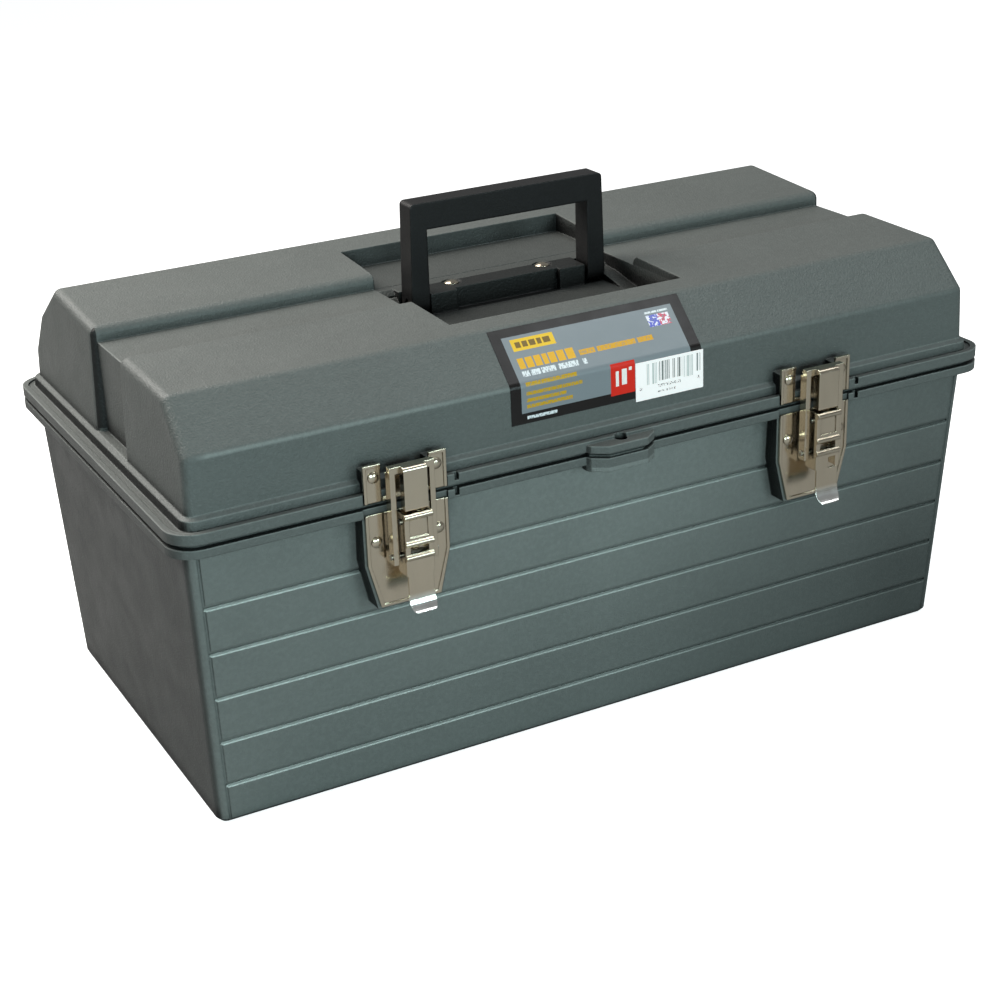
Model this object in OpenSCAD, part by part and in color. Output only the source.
// Toolbox with a lift-out tray: moulded base and hinged lid, folding carrying handle,
// and two plated draw latches on the front.
// Millimetres. The origin is on the floor under the middle of the base, +X runs along
// the length, -Y is the front and +Z is up.

/* [Box] */
// Length over the rims
rim_l = 482.6; // [470:0.1:500]
// Width over the rims
rim_w = 260.4; // [256:0.1:264]
// Corner radius of the rims in plan
rim_r = 15; // [8:1:24]
// Length of the base at the floor
base_foot_l = 453.4; // [440:0.1:462]
// Width of the base at the floor
base_foot_w = 223.4; // [215:0.1:232]
// Length of the base under its rim
base_top_l = 467; // [463:0.1:472]
// Width of the base under its rim
base_top_w = 242.2; // [238:0.1:246]
// Height of the base
base_h = 161.7; // [155:0.1:165]
// Wall thickness of the base and the lid
wall = 3; // [2:0.1:4]
// Height of the lid's rim
rim_t = 7; // [6:0.1:8]

/* [Lid] */
// Height of the rear ridge of the lid, the highest point of the closed box
lid_top = 235; // [233:0.1:240]
// Height of the flat front ridge of the lid
front_ridge_z = 228; // [226:0.1:230]
// Height of the channel between the two ridges
channel_z = 222.8; // [220:0.1:224]
// Front edge of the channel
channel_front_y = -33; // [-40:0.5:-28]
// Rear edge of the channel
channel_rear_y = 8.5; // [4:0.5:12]
// Length of the lid above its rim
lid_l = 463; // [455:0.5:466]
// How far the channel is sunk into the two end walls
end_groove = 5.5; // [4:0.5:12]

/* [Handle] */
// Half width of the handle over its legs
handle_half_w = 60; // [56:0.1:61]
// Height of the handle above its pivot
handle_rise = 55.2; // [45:0.1:58]
// Thickness of the handle, front to back
handle_t = 12.8; // [10:0.1:13]
// Height of the handle's pivots
handle_pivot_z = 218.5; // [217:0.1:219]
// Distance of the handle's pivots from the middle plane, along Y
handle_pivot_y = -11.9; // [-14:0.1:-10]
// Half length of the handle pocket
pocket_half_l = 69.5; // [66:0.5:74]
// Front edge of the handle pocket
pocket_front_y = -80.5; // [-84:0.5:-76]
// Rear edge of the handle pocket
pocket_rear_y = 51.5; // [46:0.5:56]

/* [Latches] */
// Distance of each latch from the middle of the box
latch_x = 122.2; // [110:0.1:135]
// Width of the latch plates
latch_w = 44.5; // [40:0.5:48]
// Thickness of the latch sheet metal
sheet_t = 1.2; // [0.8:0.1:1.4]
// Height of the lever's pivot
lever_pivot_z = 154.5; // [154:0.1:155.5]
// Distance between the lever's pivot and the hook's pivot
lever_crank = 18.5; // [17:0.1:19]

/* [Tray] */
// Length of the tray over its rim
tray_l = 434; // [420:1:435]
// Width of the tray over its rim
tray_w = 226; // [215:1:228]
// Height of the tray
tray_h = 40; // [30:1:42]
// Wall thickness of the tray
tray_wall = 2.2; // [1.6:0.1:3]

/* [Hidden] */
$fn = 48;
eps = 0.01;

plastic = [0.42, 0.47, 0.46];
black_plastic = [0.12, 0.12, 0.13];
steel = [0.78, 0.75, 0.68];
paper_grey = [0.5, 0.52, 0.53];

// Rims, parting line and base
rim_gap = 0.3;
lid_z = base_h + rim_gap;
rim_half_w = rim_w / 2;
corner_r = 6;
foot_chamfer = 2.5;
inside_l = base_top_l - 2 * wall;
inside_w = base_top_w - 2 * wall;
front_slope = atan((base_top_w - base_foot_w) / 2 / base_h);
groove_first_z = 22.3;
groove_pitch = 25.5;
groove_count = 5;
groove_depth = 1.9;
groove_upper = 2.3;
groove_lower = 0.9;
corner_line_r = 0.8;
base_rim_t = 5.2;
seam_low = 161;
seam_high = 163.5;
seam_depth = 4;
ledge_z = 118;
ledge_depth = 22;
ledge_t = 5;
ledge_half_w = 92;

// Lid outline, as [y, z] corners of its two ridges
edge_r = 5;
lid_front_y = -122.4;
lid_rear_y = 121.5;
lid_foot_z = 140;
front_ridge = [
    [lid_front_y, lid_foot_z], [-121, 203], [-96.5, front_ridge_z - 1.2],
    [channel_front_y, front_ridge_z], [channel_front_y, lid_foot_z]
];
rear_ridge = [
    [channel_rear_y, lid_foot_z], [channel_rear_y, lid_top - 4.2], [74, lid_top],
    [104, 213.5], [119.5, 190], [lid_rear_y, lid_foot_z]
];
lid_cavity = [
    [lid_front_y + wall, lid_foot_z], [wall - 121, 202], [-95.3, front_ridge_z - 1.2 - wall],
    [channel_front_y - wall, front_ridge_z - wall], [channel_front_y - wall, channel_z - wall],
    [channel_rear_y + wall, channel_z - wall], [channel_rear_y + wall, lid_top - 4.2 - wall],
    [73, lid_top - wall], [101.6, 211.5], [119.5 - wall, 188.8], [lid_rear_y - wall, lid_foot_z]
];
lid_draft = 0.036;
lid_end = lid_l / 2;
skirt_out = 2;
skirt_top = 174.5;
gutter_in = 3.2;
gutter_z = 168;
groove_floor_z = 176;

// Handle pocket and mounting
pocket_floor_z = 211.3;
pocket_top = 250;
shelf_z = 223;
shelf_front_y = -13.5;
boss_front_y = -17;
boss_in_x = 32;
boss_out_x = 48;
slot_rear_y = -3.5;
leg_in_x = 49.3;
leg_splay = 1.4;
grip_h = 14.7;
grip_corner_r = 2.5;
shoulder_x = handle_half_w + 0.9;
shoulder_front_y = -37;
shoulder_side = [
    [shoulder_front_y, pocket_floor_z], [-15, 215.3], [-5, 215.8], [4, shelf_z],
    [4, pocket_top], [shoulder_front_y, pocket_top]
];
handle_pin_r = 2.5;
running_gap = 0.05;
strap_half_l = 31;
strap_w = 11;
strap_t = 1.4;
rivet_x = 28.5;
rivet_y = -3;
rivet_sink = 0.9;
rivet_sink_r = 5.4;
rivet_tail_r = 2.6;
rivet_tail_h = 1;
rivet_shank_r = 1.6;
rivet_head_r = 3.9;
rivet_head_h = 2;

// Padlock tabs at the middle of the front
tab_y = -138.2;
tab_z = 167.5;
function tab_outline(g) = [
    [-20.5 - g, 4 - rim_half_w], [-20.5 - g, -rim_half_w], [-19 - g, -133 - g], [-11.6 - g, tab_y - g],
    [11.6 + g, tab_y - g], [18.6 + g, -133 - g], [20 + g, -rim_half_w], [20 + g, 4 - rim_half_w]
];
padlock_r = 3.4;
padlock_y = -130.6;
base_tab_z = 153.5;

// Hinge
hinge_y = 134.5;
hinge_z = lid_z - rim_gap / 2;
knuckle_r = 4.2;
hinge_pin_r = 1.5;
hinge_spacing = 150;
knuckle_half = 10;
hinge_half = 30;
hinge_gap = 0.3;

// Latches: all heights are for the closed latch
boss_face_y = -129;
plate_y = boss_face_y - sheet_t;
plate_half = latch_w / 2;
boss_out = 1.2;
lid_pad_drop = 3.5;
lid_pad_inset = 0.8;
strike_link_h = 2;
boss_rear_y = -112;
in_front_y = -160;
notch_half = plate_half + 0.6;
plate_top = 157.8;
plate_bend = 131;
plate_low = 107.6;
plate_tip = 16.4;
strike_low = 164;
strike_top = 183.6;
edge_bead = 1.5;
edge_rise = 0.6;
shelf_top = 179.6;
shelf_out_y = -137.1;
shelf_half_w = 8.2;
strike_notch_half = 13;
lever_pivot_y = -138.1;
hook_pivot_y = -136.1;
hook_pivot_z = lever_pivot_z - lever_crank;
lever_half_w = 7.5;
lever_face_y = -143.1;
lever_top = 159.5;
lever_low = 116.7;
lever_slot_z = 140.2;
ear_half_w = 6.1;
ear_r = 3;
ear_top = 1.2;
latch_pin_r = 1.5;
arm_half_w = 12;
arm_rail_w = 2.8;
arm_front_y = -138.7;
arm_rear_y = -133.4;
arm_low = 132.2;
hook_low = 161.2;
hook_top = 183.4;
hook_ridge_half = 6.3;
hook_ridge_y = -142.3;
hook_ridge_r = 2;
hook_lip_rear_y = -135;
latch_rivet_r = 1.5;
latch_head_r = 2.9;
latch_head_h = 1.5;
latch_tail_r = 2.5;
latch_tail_h = 1;
latch_rivet_hole_l = 16;
plate_rivet_tail_y = -116.7;
strike_rivet_x = 16.8;
strike_rivet_z = 177;
plate_rivet_x = 16.8;
plate_rivet_z = 143;

// Small notches in both rims beside each latch
tick_x = 28;
tick_w = 2.4;
tick_depth = 2.6;
tick_low = 157.5;
tick_high = 165.5;
tick_h = 4;

// Tray
grip_half_l = 62;
grip_bar_h = 11;
grip_half_w = 7;
tray_mid_half_w = 28;
tray_z = ledge_z + 0.2;
tray_top = tray_z + tray_h;
tray_foot_l = tray_l - 6;
tray_foot_w = tray_w - 6;

// Label and barcode sticker
label_t = 0.2;
label_gap = 0.05;
label_x0 = -58;
label_x1 = 55;
label_z0 = 182.8;
label_z1 = 225.6;
barcode_x0 = 14.7;
barcode_x1 = 56;
barcode_z0 = 180.8;
barcode_z1 = 201.5;

function unit(v) = v / norm(v);

// Centre of a circle of radius r that touches both sides of corner b from inside
function inset_corner(a, b, c, r) =
    let (u = unit(a - b), w = unit(c - b), half = acos(u * w) / 2)
    b + unit(u + w) * r / sin(half);

function inset_outline(pts, r) = [
    for (i = [0 : len(pts) - 1])
        inset_corner(pts[(i + len(pts) - 1) % len(pts)], pts[i], pts[(i + 1) % len(pts)], r)
];

// Plate with rounded corners in plan, standing on z = 0
module rounded_plate(l, w, r, h) {
    translate([r - l / 2, -w / 2, 0]) cube([l - 2 * r, w, h]);
    translate([-l / 2, r - w / 2, 0]) cube([l, w - 2 * r, h]);
    for (sx = [-1, 1], sy = [-1, 1])
        translate([sx * (l / 2 - r), sy * (w / 2 - r), 0]) cylinder(r = r, h = h);
}

// Block with rounded upright corners that widens from z0 to z1
module tapered_block(l0, w0, l1, w1, z0, z1, r0, r1) {
    hull()
        for (sx = [-1, 1], sy = [-1, 1]) {
            translate([sx * (l0 / 2 - r0), sy * (w0 / 2 - r0), z0])
                cylinder(r = r0, h = eps, $fn = 32);
            translate([sx * (l1 / 2 - r1), sy * (w1 / 2 - r1), z1 - eps])
                cylinder(r = r1, h = eps, $fn = 32);
        }
}

// Cylinder along +X whose near end is at x
module x_rod(x, y, z, r, l) {
    translate([x, y, z]) rotate([0, 90, 0]) cylinder(r = r, h = l);
}

// Cylinder along +Y whose near end is at y
module y_rod(x, y, z, r, l) {
    translate([x, y, z]) rotate([-90, 0, 0]) cylinder(r = r, h = l);
}

// Outline in the Y-Z plane drawn out along X between -half and half
module x_extrude(half) {
    translate([-half, 0, 0]) rotate([90, 0, 90]) linear_extrude(2 * half) children();
}

// Outline in the X-Z plane drawn out along Y from y0 to y1
module y_extrude(y0, y1) {
    translate([0, y1, 0]) rotate([90, 0, 0]) linear_extrude(y1 - y0) children();
}

// Half length of the lid's ends at height z
function lid_half_at(z) = lid_end - lid_draft * (z - lid_z);

// One ridge of the lid, with every edge rounded
module lid_ridge(outline) {
    hull()
        for (p = inset_outline(outline, edge_r), s = [-1, 1])
            translate([s * (lid_half_at(p[1]) - edge_r), p[0], p[1]]) sphere(r = edge_r, $fn = 32);
}

// Box from its lowest to its highest corner
module box(low, high) {
    translate(low) cube(high - low);
}

// Box given for the right-hand side, mirrored to the left when s is -1
module side_box(s, low, high) {
    box([s > 0 ? low.x : -high.x, low.y, low.z], [s > 0 ? high.x : -low.x, high.y, high.z]);
}

// Hinge barrel with the web that joins it to a rim
module hinge_knuckle(x0, x1, low, high) {
    x_rod(x0, hinge_y, hinge_z, knuckle_r, x1 - x0);
    box([x0, rim_half_w - 6, low], [x1, hinge_y - hinge_pin_r - 0.6, high]);
}

module base_knuckles() {
    for (i = [-1 : 1], s = [-1, 1])
        let (a = i * hinge_spacing + s * hinge_half,
             b = i * hinge_spacing + s * (knuckle_half + hinge_gap))
            hinge_knuckle(min(a, b), max(a, b), base_h - base_rim_t, base_h);
}

module lid_knuckles() {
    for (i = [-1 : 1])
        hinge_knuckle(i * hinge_spacing - knuckle_half, i * hinge_spacing + knuckle_half,
            lid_z, lid_z + rim_t);
}

// Half length of the flat part of the front wall at height z
function front_half_at(z) = base_foot_l / 2 - corner_r + z * (base_top_l - base_foot_l) / 2 / base_h;

// Horizontal grooves across the sloping front wall, each with a steep upper side and
// a lower side that faces up
module front_grooves() {
    for (i = [0 : groove_count - 1])
        let (z = groove_first_z + i * groove_pitch, y = -base_foot_w / 2 - z * tan(front_slope))
            x_extrude(front_half_at(z))
                polygon([
                    [y + groove_depth, z], [y - 1, z + groove_upper * (1 + 1 / groove_depth)],
                    [y - 1, z - groove_lower * (1 + 1 / groove_depth)]
                ]);
}

// Thin upright line at each end of the grooves, where the corner's rounding starts
module corner_lines() {
    low = [front_half_at(0), -base_foot_w / 2, 0];
    high = [front_half_at(base_h), -base_top_w / 2, base_h];
    for (s = [-1, 1])
        let (d = unit([s * (high.x - low.x), high.y - low.y, high.z]))
            translate([s * low.x, low.y, low.z])
                rotate([asin(-d.y), atan2(d.x, d.z), 0])
                    cylinder(r = corner_line_r, h = base_h - base_rim_t);
}

// Outline of the latch plate on the base, grown by g, from height top down
module latch_plate_outline(top, g) {
    polygon([
        [-plate_half - g, top], [plate_half + g, top], [plate_half + g, plate_bend],
        [plate_tip + g, plate_low - g], [-plate_tip - g, plate_low - g], [-plate_half - g, plate_bend]
    ]);
}

// Dark line between the rims: everything outside the two rims' inner parts
module seam() {
    translate([0, 0, seam_low])
        difference() {
            linear_extrude(seam_high - seam_low) square([rim_l + 40, rim_w + 40], center = true);
            translate([0, 0, -1])
                rounded_plate(rim_l - 2 * seam_depth, rim_w - 2 * seam_depth, rim_r - seam_depth, 5);
            translate([0, 0, -1]) linear_extrude(5) polygon(tab_outline(-2));
            translate([-rim_l / 2, rim_half_w - 1, -1]) cube([rim_l, 20, 5]);
        }
}

module base_shell() {
    color(plastic) {
        difference() {
            union() {
                tapered_block(base_foot_l - 2 * foot_chamfer, base_foot_w - 2 * foot_chamfer,
                    base_foot_l, base_foot_w, 0, foot_chamfer, corner_r - foot_chamfer, corner_r);
                tapered_block(base_foot_l, base_foot_w, base_top_l, base_top_w,
                    foot_chamfer - eps, base_h, corner_r, corner_r);
                tapered_block(base_top_l - 1, base_top_w - 1, rim_l - 2, rim_w - 2,
                    base_h - base_rim_t - 4, base_h - base_rim_t + eps, corner_r, rim_r - 1);
                translate([0, 0, base_h - base_rim_t]) rounded_plate(rim_l, rim_w, rim_r, base_rim_t);
                for (s = [-1, 1])
                    translate([s * latch_x, 0, 0])
                        y_extrude(boss_face_y, boss_rear_y) latch_plate_outline(base_h, boss_out);
                translate([0, 0, base_tab_z]) linear_extrude(base_h - base_tab_z) polygon(tab_outline(0));
                base_knuckles();
            }
            tapered_block(base_foot_l - 2 * wall, base_foot_w - 2 * wall, inside_l, inside_w,
                wall, base_h + eps, corner_r - wall + 1, corner_r - wall + 1);
            front_grooves_between_bosses();
            corner_lines();
            for (s = [-1, 1])
                translate([s * latch_x, 0, 0]) latch_clearance();
            for (s = [-1, 1], t = [-1, 1])
                y_rod(s * latch_x + t * plate_rivet_x, boss_face_y - eps, plate_rivet_z,
                    latch_rivet_r, latch_rivet_hole_l);
            translate([0, padlock_y, base_tab_z - 1]) cylinder(r = padlock_r, h = 12);
            x_rod(-hinge_spacing - hinge_half - 1, hinge_y, hinge_z, hinge_pin_r,
                2 * (hinge_spacing + hinge_half) + 2);
            for (i = [-1 : 1])
                lid_knuckle_clearance(i * hinge_spacing);
            rim_ticks();
            seam();
        }
        for (s = [-1, 1])
            side_box(s, [inside_l / 2 - ledge_depth, -ledge_half_w, ledge_z - ledge_t],
                [inside_l / 2 + 1, ledge_half_w, ledge_z]);
    }
}

// The grooves stop short of the raised latch pads
module front_grooves_between_bosses() {
    difference() {
        front_grooves();
        for (s = [-1, 1])
            translate([s * latch_x, 0, 0])
                y_extrude(in_front_y, boss_rear_y + wall) latch_plate_outline(base_h, boss_out);
    }
}

// Room in the rims for the flat latch plates
module latch_clearance() {
    box([-notch_half, in_front_y, base_tab_z - 2], [notch_half, boss_face_y, strike_top + 5]);
}

module rim_ticks() {
    for (s = [-1, 1], z = [tick_low, tick_high])
        box([s * latch_x + tick_x - tick_w / 2, -rim_half_w - 1, z],
            [s * latch_x + tick_x + tick_w / 2, tick_depth - rim_half_w, z + tick_h]);
}

module lid_knuckle_clearance(x) {
    box([x - knuckle_half - hinge_gap, rim_half_w - 0.9, base_h - base_rim_t - 1],
        [x + knuckle_half + hinge_gap, hinge_y + 10, base_h + 1]);
}

// Pads on the lid behind the two sides of a strike plate, joined low down behind its shelf
module lid_pads() {
    for (s = [-1, 1])
        side_box(s, [strike_notch_half, boss_face_y, lid_z],
            [plate_half - lid_pad_inset, boss_rear_y, strike_top - lid_pad_drop]);
    box([-strike_notch_half - eps, boss_face_y, lid_z],
        [strike_notch_half + eps, boss_rear_y, strike_low + strike_link_h]);
}

// Outer form of the lid, still solid
module lid_body() {
    lid_ridge(front_ridge);
    lid_ridge(rear_ridge);
    box([end_groove - lid_end, channel_front_y - 20, lid_z],
        [lid_end - end_groove, channel_rear_y + 20, channel_z]);
    difference() {
        translate([0, 0, lid_z]) rounded_plate(rim_l, rim_w, rim_r, rim_t);
        translate([0, 0, gutter_z])
            rounded_plate(rim_l - 2 * gutter_in, rim_w - 2 * gutter_in, rim_r - gutter_in, rim_t);
    }
    skirt_l = lid_l + 2 * skirt_out;
    skirt_w = 2 * (skirt_out - lid_front_y);
    tapered_block(skirt_l + 2, skirt_w + 2, skirt_l, skirt_w, lid_z, skirt_top - 1.6,
        corner_r + skirt_out, corner_r + skirt_out);
    tapered_block(skirt_l, skirt_w, lid_l - 1, -2 * lid_front_y - 1, skirt_top - 1.6 - eps, skirt_top,
        corner_r + skirt_out, corner_r);
}

// Hollow under the lid, without the room that the pocket and the end grooves take
module lid_hollow() {
    difference() {
        x_extrude(lid_half_at(lid_top) - wall) polygon(lid_cavity);
        for (s = [-1, 1])
            side_box(s, [lid_end - end_groove - wall, channel_front_y - wall, groove_floor_z - wall],
                [lid_end, channel_rear_y + wall, pocket_top]);
        box([-pocket_half_l - wall, pocket_front_y - wall, pocket_floor_z - wall],
            [pocket_half_l + wall, slot_rear_y + wall, pocket_top]);
        box([-pocket_half_l - wall, slot_rear_y, shelf_z - wall],
            [pocket_half_l + wall, pocket_rear_y + wall, pocket_top]);
    }
    box([0.5 - boss_in_x, shelf_front_y + wall, lid_z],
        [boss_in_x - 0.5, pocket_rear_y, shelf_z - wall]);
}

// Space that the handle folds into
module handle_pocket() {
    difference() {
        box([-shoulder_x, pocket_front_y, pocket_floor_z], [shoulder_x, slot_rear_y, pocket_top]);
        box([-boss_out_x, shelf_front_y, pocket_floor_z - 1], [boss_out_x, 0, pocket_top]);
        for (s = [-1, 1])
            side_box(s, [boss_in_x, boss_front_y, pocket_floor_z - 1], [boss_out_x, 0, pocket_top]);
    }
    for (s = [-1, 1]) {
        side_box(s, [shoulder_x - eps, pocket_front_y, pocket_floor_z],
            [pocket_half_l, shoulder_front_y + eps, pocket_top]);
        translate([s * (shoulder_x + pocket_half_l - eps) / 2, 0, 0])
            x_extrude((pocket_half_l - shoulder_x + eps) / 2) polygon(shoulder_side);
    }
    box([-pocket_half_l, boss_front_y - eps, shelf_z], [pocket_half_l, pocket_rear_y, pocket_top]);
}

module lid_shell() {
    color(plastic)
        difference() {
            union() {
                lid_body();
                for (s = [-1, 1])
                    translate([s * latch_x, 0, 0])
                        lid_pads();
                translate([0, 0, lid_z]) linear_extrude(tab_z - lid_z) polygon(tab_outline(0));
                lid_knuckles();
            }
            box([-rim_l, -rim_w, lid_foot_z - edge_r], [rim_l, rim_half_w - 0.9, lid_z]);
            for (s = [-1, 1])
                side_box(s, [lid_end - end_groove, channel_front_y, groove_floor_z],
                    [lid_end + 5, channel_rear_y, pocket_top]);
            lid_hollow();
            handle_pocket();
            for (s = [-1, 1])
                translate([s * latch_x, 0, 0]) latch_clearance();
            for (s = [-1, 1], t = [-1, 1])
                y_rod(s * latch_x + t * strike_rivet_x, boss_face_y - eps, strike_rivet_z,
                    latch_rivet_r, latch_rivet_hole_l);
            for (s = [-1, 1]) {
                x_rod(s > 0 ? boss_in_x : -boss_out_x - eps, handle_pivot_y, handle_pivot_z,
                    handle_pin_r + running_gap, boss_out_x - boss_in_x + eps);
                translate([s * rivet_x, rivet_y, pocket_floor_z]) cylinder(r = rivet_shank_r, h = 30);
                translate([s * rivet_x, rivet_y, shelf_z - rivet_sink]) cylinder(r = rivet_sink_r, h = 5);
            }
            translate([0, padlock_y, lid_z - 1]) cylinder(r = padlock_r, h = 12);
            x_rod(-hinge_spacing - hinge_half - 1, hinge_y, hinge_z, hinge_pin_r + running_gap,
                2 * (hinge_spacing + hinge_half) + 2);
            for (i = [-1 : 1], s = [-1, 1])
                base_knuckle_clearance(i * hinge_spacing, s);
            rim_ticks();
            seam();
        }
}

module base_knuckle_clearance(x, s) {
    near = x + s * knuckle_half;
    far = x + s * (hinge_half + hinge_gap);
    box([min(near, far), rim_half_w - 0.9, lid_z - 1], [max(near, far), hinge_y + 10, lid_z + rim_t + 1]);
}

module hinge_pins() {
    color(steel)
        for (i = [-1 : 1])
            x_rod(i * hinge_spacing - hinge_half, hinge_y, hinge_z, hinge_pin_r, 2 * hinge_half);
}

// One compartment of the tray
module tray_cell(x0, x1, y0, y1) {
    box([x0, y0, tray_z + tray_wall], [x1, y1, tray_top + 1]);
}

// Floor, walls and the grip over the middle compartment in one moulding
module tray() {
    inner_x = tray_foot_l / 2 - tray_wall - 1;
    inner_y = tray_foot_w / 2 - tray_wall - 1;
    rear_split = inner_x / 3;
    half = tray_wall / 2;
    color(black_plastic) {
        difference() {
            tapered_block(tray_foot_l, tray_foot_w, tray_l, tray_w, tray_z, tray_top, corner_r, corner_r);
            for (s = [-1, 1])
                tray_cell(s > 0 ? half : -inner_x, s > 0 ? inner_x : -half,
                    -inner_y, -tray_mid_half_w - half);
            for (i = [-1 : 1])
                tray_cell((2 * i - 1) * rear_split + half, (2 * i + 1) * rear_split - half,
                    tray_mid_half_w + half, inner_y);
            for (s = [-1, 1])
                tray_cell(s > 0 ? grip_half_l + half : -inner_x, s > 0 ? inner_x : -grip_half_l - half,
                    half - tray_mid_half_w, tray_mid_half_w - half);
            tray_cell(half - grip_half_l, grip_half_l - half,
                half - tray_mid_half_w, tray_mid_half_w - half);
        }
        box([-grip_half_l, -grip_half_w, tray_top - grip_bar_h], [grip_half_l, grip_half_w, tray_top]);
    }
}

// Side view of the handle: straight legs with round lower ends
module handle_side() {
    translate([handle_pivot_y, handle_pivot_z]) circle(r = handle_t / 2);
    translate([handle_pivot_y - handle_t / 2, handle_pivot_z]) square([handle_t, handle_rise]);
}

// Front view of the handle: a grip bar on two legs
module handle_front() {
    top = handle_pivot_z + handle_rise;
    low = handle_pivot_z - handle_t;
    top_half = handle_half_w - leg_splay;
    difference() {
        union() {
            polygon([
                [-handle_half_w, low], [handle_half_w, low], [handle_half_w, handle_pivot_z],
                [top_half, top - grip_corner_r], [-top_half, top - grip_corner_r],
                [-handle_half_w, handle_pivot_z]
            ]);
            translate([grip_corner_r - top_half, low]) square([2 * (top_half - grip_corner_r), top - low]);
            for (s = [-1, 1])
                translate([s * (top_half - grip_corner_r), top - grip_corner_r]) circle(r = grip_corner_r);
        }
        translate([-leg_in_x, low - 1]) square([2 * leg_in_x, top - low - grip_h + 1]);
    }
}

module handle() {
    color(black_plastic)
        difference() {
            intersection() {
                x_extrude(handle_half_w + 1) handle_side();
                y_extrude(handle_pivot_y - handle_t, handle_pivot_y + handle_t) handle_front();
            }
            x_rod(-handle_half_w - 1, handle_pivot_y, handle_pivot_z, handle_pin_r, 2 * handle_half_w + 2);
        }
}

module handle_pivot_pins() {
    inset = 1;
    pin_l = handle_half_w - inset - boss_in_x - 2;
    color(steel)
        for (s = [-1, 1])
            x_rod(s > 0 ? boss_in_x + 2 : inset - handle_half_w, handle_pivot_y, handle_pivot_z,
                handle_pin_r, pin_l);
}

module handle_strap() {
    z1 = shelf_z - wall;
    color(steel)
        difference() {
            box([-strap_half_l, rivet_y - strap_w / 2, z1 - strap_t],
                [strap_half_l, rivet_y + strap_w / 2, z1]);
            for (s = [-1, 1])
                translate([s * rivet_x, rivet_y, z1 - strap_t - 1])
                    cylinder(r = rivet_shank_r, h = strap_t + 2);
        }
}

// Round-headed rivet standing on +Z at z = 0, with its shank below
module rivet(head_r, head_h, shank_r, grip, tail_r, tail_h) {
    dome_r = 1.6 * head_r;
    intersection() {
        cylinder(r = head_r, h = head_h);
        translate([0, 0, head_h - dome_r]) sphere(r = dome_r);
    }
    translate([0, 0, -grip - tail_h / 2])
        cylinder(r = shank_r - running_gap, h = grip + tail_h / 2 + head_h / 2);
    translate([0, 0, -grip - tail_h]) cylinder(r = tail_r, h = tail_h);
}

module handle_rivets() {
    color(steel)
        for (s = [-1, 1])
            translate([s * rivet_x, rivet_y, shelf_z - rivet_sink])
                rivet(rivet_head_r, rivet_head_h, rivet_shank_r, wall + strap_t - rivet_sink,
                    rivet_tail_r, rivet_tail_h);
}

// Rivet driven through the front of the box, its head on the latch plate
module front_rivet(x, z, inside_y) {
    translate([x, plate_y, z]) rotate([90, 0, 0])
        rivet(latch_head_r, latch_head_h, latch_rivet_r, inside_y - plate_y, latch_tail_r, latch_tail_h);
}

module strike_rivets(x) {
    color(steel)
        for (t = [-1, 1])
            front_rivet(x + t * strike_rivet_x, strike_rivet_z, lid_front_y + wall + 1.1);
}

module plate_rivets(x) {
    color(steel)
        for (t = [-1, 1])
            front_rivet(x + t * plate_rivet_x, plate_rivet_z, plate_rivet_tail_y);
}

module rivet_holes(x, z) {
    for (t = [-1, 1])
        y_rod(t * x, plate_y - 1, z, latch_rivet_r, sheet_t + 2);
}

// Raised bead along the edges of a latch sheet, left standing around an inner outline
module edge_bead_ring() {
    y_extrude(plate_y - edge_rise, plate_y + eps)
        difference() {
            children(0);
            children(1);
        }
}

// Plate on the lid with two side pads and, between them, a shelf that the hook pulls down on
module strike_plate(x) {
    color(steel)
        translate([x, 0, 0])
            difference() {
                union() {
                    box([-plate_half, plate_y, strike_low], [plate_half, boss_face_y, strike_top]);
                    box([-shelf_half_w, shelf_out_y, shelf_top - sheet_t],
                        [shelf_half_w, boss_face_y, shelf_top]);
                    edge_bead_ring() {
                        translate([-plate_half, strike_low]) square([latch_w, strike_top - strike_low]);
                        translate([edge_bead - plate_half, strike_low - 1])
                            square([latch_w - 2 * edge_bead, strike_top - strike_low + 1 - edge_bead]);
                    }
                }
                box([-strike_notch_half, in_front_y, shelf_top + eps],
                    [strike_notch_half, boss_face_y + 1, strike_top + 1]);
                for (s = [-1, 1])
                    side_box(s, [shelf_half_w, in_front_y, strike_low + strike_link_h],
                        [strike_notch_half, boss_face_y + 1, strike_top + 1]);
                rivet_holes(strike_rivet_x, strike_rivet_z);
            }
}

// Plate on the base with two ears that hold the lever's pin
module latch_plate(x) {
    color(steel)
        translate([x, 0, 0])
            difference() {
                union() {
                    y_extrude(plate_y, boss_face_y) latch_plate_outline(plate_top, 0);
                    edge_bead_ring() {
                        latch_plate_outline(plate_top, 0);
                        latch_plate_outline(plate_top + 1, -edge_bead);
                    }
                    for (s = [-1, 1]) {
                        ear_x = min(s * ear_half_w, s * (ear_half_w - sheet_t));
                        x_rod(ear_x, lever_pivot_y, lever_pivot_z, ear_r, sheet_t);
                        box([ear_x, lever_pivot_y, lever_pivot_z - ear_r],
                            [ear_x + sheet_t, boss_face_y, lever_pivot_z + ear_top]);
                    }
                }
                rivet_holes(plate_rivet_x, plate_rivet_z);
                x_rod(-lever_half_w, lever_pivot_y, lever_pivot_z, latch_pin_r, 2 * lever_half_w);
            }
}

// Side view of the lever's finger tab, curling away from the box
module tab_arc(y, z) {
    outer = 11;
    inner = outer - sheet_t;
    bend = 56;
    polygon(concat(
        [for (a = [0 : 7 : bend]) [y + sheet_t - outer + outer * cos(a), z - outer * sin(a)]],
        [for (a = [bend : -7 : 0]) [y + sheet_t - outer + inner * cos(a), z - inner * sin(a)]]
    ));
}

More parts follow.
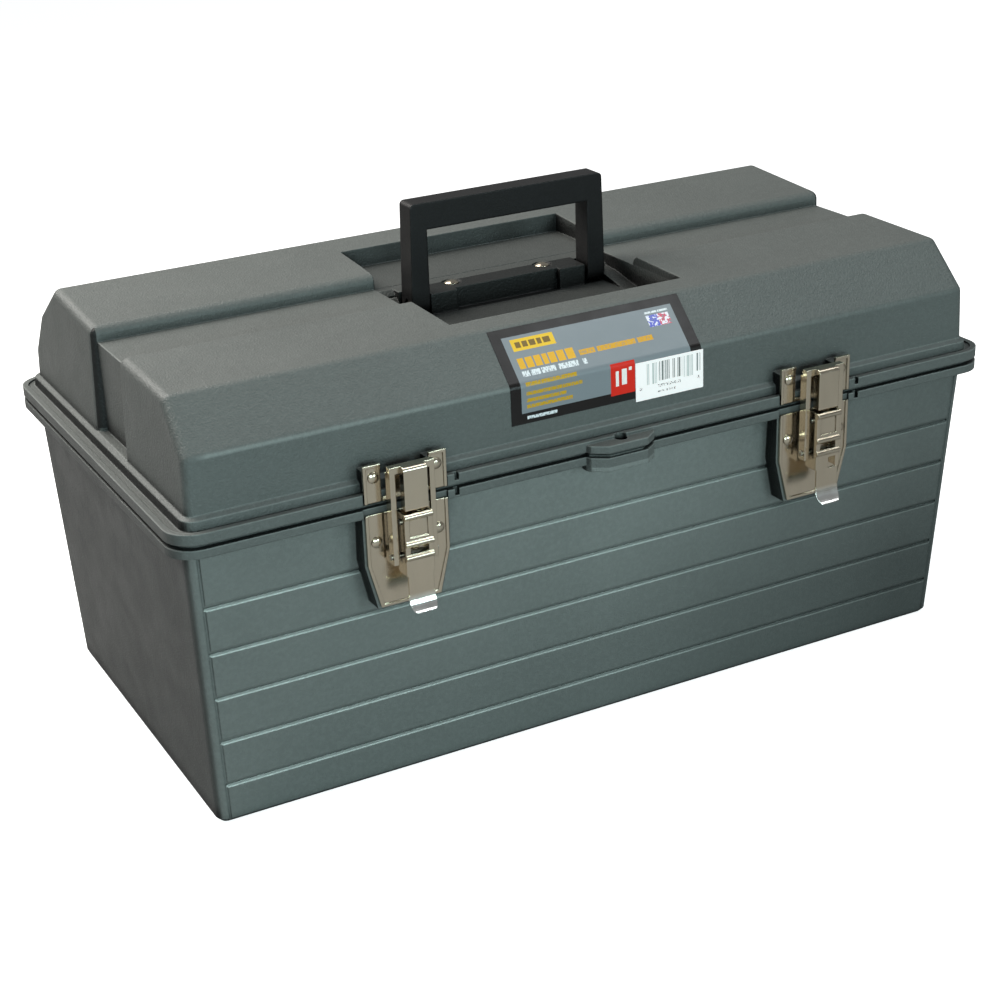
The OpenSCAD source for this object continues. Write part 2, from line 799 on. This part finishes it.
// Front view of the finger tab, with round lower corners
module tab_front(half) {
    r = 4.5;
    low = lever_low - 9.1;
    translate([-half, low + r]) square([2 * half, lever_low + 1 - low - r]);
    translate([r - half, low]) square([2 * (half - r), r + 1]);
    for (s = [-1, 1])
        translate([s * (half - r), low + r]) circle(r = r);
}

module lever(x, eye) {
    flange_rear = -133.8;
    flange_low = 127;
    tab_half = 7.2;
    face_half = 6.8;
    bead_r = 1.5;
    bar_offset = 3.6;
    window_half = 5;
    slot_half_h = 1.9;
    panel_low = 147;
    panel_high = 156.2;
    panel_depth = 0.6;
    eye_x0 = 0.5;
    eye_x1 = 5.2;
    eye_drop = 13;
    eye_h = 6.2;
    color(steel)
        translate([x, 0, 0])
            difference() {
                union() {
                    box([-face_half, lever_face_y, lever_low],
                        [face_half, lever_face_y + sheet_t, lever_top]);
                    for (s = [-1, 1])
                        side_box(s, [lever_half_w - sheet_t, lever_face_y, flange_low],
                            [lever_half_w, flange_rear, lever_top]);
                    box([-lever_half_w, lever_face_y, flange_low],
                        [lever_half_w, lever_face_y + sheet_t, lever_top]);
                    for (z = [lever_slot_z + bar_offset, lever_slot_z - bar_offset, lever_top - bead_r])
                        x_rod(-lever_half_w, lever_face_y + 0.4, z, bead_r, 2 * lever_half_w);
                    intersection() {
                        x_extrude(tab_half) tab_arc(lever_face_y, lever_low + eps);
                        y_extrude(in_front_y, lever_face_y + sheet_t) tab_front(tab_half);
                    }
                }
                box([-window_half, lever_face_y - 1, lever_slot_z - slot_half_h],
                    [window_half, lever_face_y + 2, lever_slot_z + slot_half_h]);
                box([-window_half, lever_face_y - 1, panel_low],
                    [window_half, lever_face_y + panel_depth, panel_high]);
                if (eye)
                    box([eye_x0, lever_face_y - 1, lever_slot_z - eye_drop],
                        [eye_x1, lever_face_y + 2, lever_slot_z - eye_drop + eye_h]);
                x_rod(-lever_half_w - 1, lever_pivot_y, lever_pivot_z, latch_pin_r + running_gap,
                    2 * lever_half_w + 2);
                x_rod(-lever_half_w - 1, hook_pivot_y, hook_pivot_z, latch_pin_r, 2 * lever_half_w + 2);
            }
}

module lever_pin(x) {
    half = lever_half_w + 0.8;
    color(steel) x_rod(x - half, lever_pivot_y, lever_pivot_z, latch_pin_r, 2 * half);
}

// Hook that straddles the lever and catches the strike plate's shelf
module hook(x) {
    lip_low = shelf_top + rim_gap;
    back_y = arm_front_y + sheet_t;
    color(steel)
        translate([x, 0, 0])
            difference() {
                union() {
                    box([-arm_half_w, arm_front_y, hook_low], [arm_half_w, back_y, hook_top]);
                    box([-hook_ridge_half, hook_ridge_y, hook_low],
                        [hook_ridge_half, arm_front_y + eps, hook_top - hook_ridge_r]);
                    box([-hook_ridge_half, hook_ridge_y + hook_ridge_r, hook_low],
                        [hook_ridge_half, arm_front_y + eps, hook_top]);
                    x_rod(-hook_ridge_half, hook_ridge_y + hook_ridge_r, hook_top - hook_ridge_r,
                        hook_ridge_r, 2 * hook_ridge_half);
                    box([-arm_half_w, arm_front_y, lip_low], [arm_half_w, hook_lip_rear_y, hook_top]);
                    for (s = [-1, 1]) {
                        side_box(s, [arm_half_w - sheet_t, arm_front_y, arm_low],
                            [arm_half_w, arm_rear_y, lip_low]);
                        side_box(s, [arm_half_w - arm_rail_w, arm_front_y, arm_low],
                            [arm_half_w, back_y, hook_top]);
                    }
                }
                box([sheet_t - hook_ridge_half, hook_ridge_y + sheet_t, hook_low - 1],
                    [hook_ridge_half - sheet_t, back_y + eps, lip_low]);
                for (s = [-1, 1])
                    side_box(s, [hook_ridge_half, arm_front_y - eps, hook_low - 1],
                        [arm_half_w - arm_rail_w, back_y + eps, lip_low]);
                x_rod(-arm_half_w - 1, hook_pivot_y, hook_pivot_z, latch_pin_r + running_gap,
                    2 * arm_half_w + 2);
            }
}

module hook_pin(x) {
    half = arm_half_w + 0.8;
    color(steel) x_rod(x - half, hook_pivot_y, hook_pivot_z, latch_pin_r, 2 * half);
}

module left_strike_plate() { strike_plate(-latch_x); }
module left_strike_rivets() { strike_rivets(-latch_x); }
module left_latch_plate() { latch_plate(-latch_x); }
module left_plate_rivets() { plate_rivets(-latch_x); }
module left_lever() { lever(-latch_x, false); }
module left_lever_pin() { lever_pin(-latch_x); }
module left_hook() { hook(-latch_x); }
module left_hook_pin() { hook_pin(-latch_x); }
module right_strike_plate() { strike_plate(latch_x); }
module right_strike_rivets() { strike_rivets(latch_x); }
module right_latch_plate() { latch_plate(latch_x); }
module right_plate_rivets() { plate_rivets(latch_x); }
module right_lever() { lever(latch_x, true); }
module right_lever_pin() { lever_pin(latch_x); }
module right_hook() { hook(latch_x); }
module right_hook_pin() { hook_pin(latch_x); }

// Rounded outline of the front ridge, grown by g
module front_outline(g) {
    hull()
        for (p = inset_outline(front_ridge, edge_r))
            translate(p) circle(r = edge_r + g, $fn = 64);
}

// Thin sheet that follows the front ridge from its sloping face down onto its upright face
module wrapped_sheet(x0, x1, z0, z1, gap, t) {
    translate([(x0 + x1) / 2, 0, 0])
        x_extrude((x1 - x0) / 2)
            intersection() {
                difference() {
                    front_outline(gap + t);
                    front_outline(gap);
                }
                translate([-140, z0]) square([45, z1 - z0]);
            }
}

module label_sheet() {
    color(paper_grey) wrapped_sheet(label_x0, label_x1, label_z0, label_z1, label_gap, label_t);
}

module barcode_sticker() {
    color("white")
        wrapped_sheet(barcode_x0, barcode_x1, barcode_z0, barcode_z1, 2 * label_gap + label_t, label_t);
}

base_shell();
lid_shell();
hinge_pins();
tray();
handle();
handle_pivot_pins();
handle_strap();
handle_rivets();
left_strike_plate();
left_strike_rivets();
left_latch_plate();
left_plate_rivets();
left_lever();
left_lever_pin();
left_hook();
left_hook_pin();
right_strike_plate();
right_strike_rivets();
right_latch_plate();
right_plate_rivets();
right_lever();
right_lever_pin();
right_hook();
right_hook_pin();
label_sheet();
barcode_sticker();
